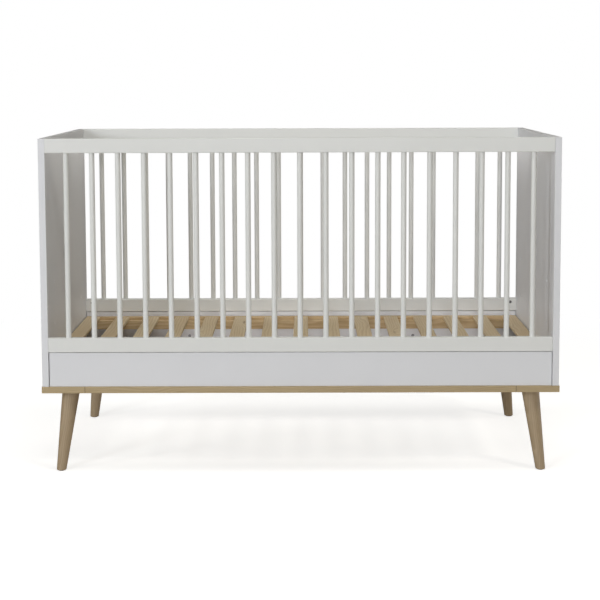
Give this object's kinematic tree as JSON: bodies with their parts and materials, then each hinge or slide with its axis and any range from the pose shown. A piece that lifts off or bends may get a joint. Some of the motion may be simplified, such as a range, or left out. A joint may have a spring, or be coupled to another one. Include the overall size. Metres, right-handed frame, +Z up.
{
  "type": "baby crib",
  "caption": "Cot bed with solid end panels, barred sides, a height-adjustable slatted base, and an oak base frame on splayed tapered legs.",
  "frame": {"origin": "on the floor, under the middle of the bed", "axes": "+Z up, +X along the length, front facing -Y"},
  "size_m": [1.444, 0.754, 0.94],
  "materials": {
    "white_board": "white melamine-faced board, fine satin texture, white edge band",
    "white_paint": "beech with warm white satin paint",
    "oak_base": "matt oak decor board with edge band",
    "leg_wood": "turned beech, matt lacquer",
    "slat_wood": "planed softwood, unfinished",
    "dowel_wood": "beech dowel, unfinished",
    "zinc_steel": "zinc-plated",
    "glide_felt": "needled felt"
  },
  "bodies": {
    "case": {"left_end_panel": "white_board", "right_end_panel": "white_board", "front_apron": "white_board", "back_apron": "white_board", "front_top_rail": "white_paint", "front_bottom_rail": "white_paint", "back_top_rail": "white_paint", "back_bottom_rail": "white_paint", "front_bars": "white_paint", "back_bars": "white_paint", "base_left_board": "oak_base", "base_right_board": "oak_base", "base_front_board": "oak_base", "base_back_board": "oak_base", "front_left_leg": "leg_wood", "front_right_leg": "leg_wood", "back_left_leg": "leg_wood", "back_right_leg": "leg_wood", "side_dowels": "dowel_wood", "case_dowels": "dowel_wood", "base_dowels": "dowel_wood", "leg_bolts": "zinc_steel", "leg_inserts": "zinc_steel", "side_bolts": "zinc_steel", "side_barrel_nuts": "zinc_steel", "apron_bolts": "zinc_steel", "apron_barrel_nuts": "zinc_steel", "panel_screws": "zinc_steel", "support_pins": "zinc_steel", "foot_glides": "glide_felt"},
    "slat_base": {"slat_frame_front_rail": "slat_wood", "slat_frame_back_rail": "slat_wood", "slat_frame_front_ledge": "slat_wood", "slat_frame_back_ledge": "slat_wood", "slat_frame_left_cross_rail": "slat_wood", "slat_frame_right_cross_rail": "slat_wood", "slat_01": "slat_wood", "slat_02": "slat_wood", "slat_03": "slat_wood", "slat_04": "slat_wood", "slat_05": "slat_wood", "slat_06": "slat_wood", "slat_07": "slat_wood", "slat_08": "slat_wood", "slat_09": "slat_wood", "slat_10": "slat_wood", "slat_11": "slat_wood", "slat_12": "slat_wood", "slat_13": "slat_wood", "slat_14": "slat_wood", "slat_15": "slat_wood", "slat_screws": "zinc_steel", "corner_screws": "zinc_steel"}
  },
  "joints": [
    {"name": "slat_base_height", "type": "slide", "parent": "case", "child": "slat_base", "axis": [0, 0, 1], "range_m": [0, 0.24]}
  ]
}
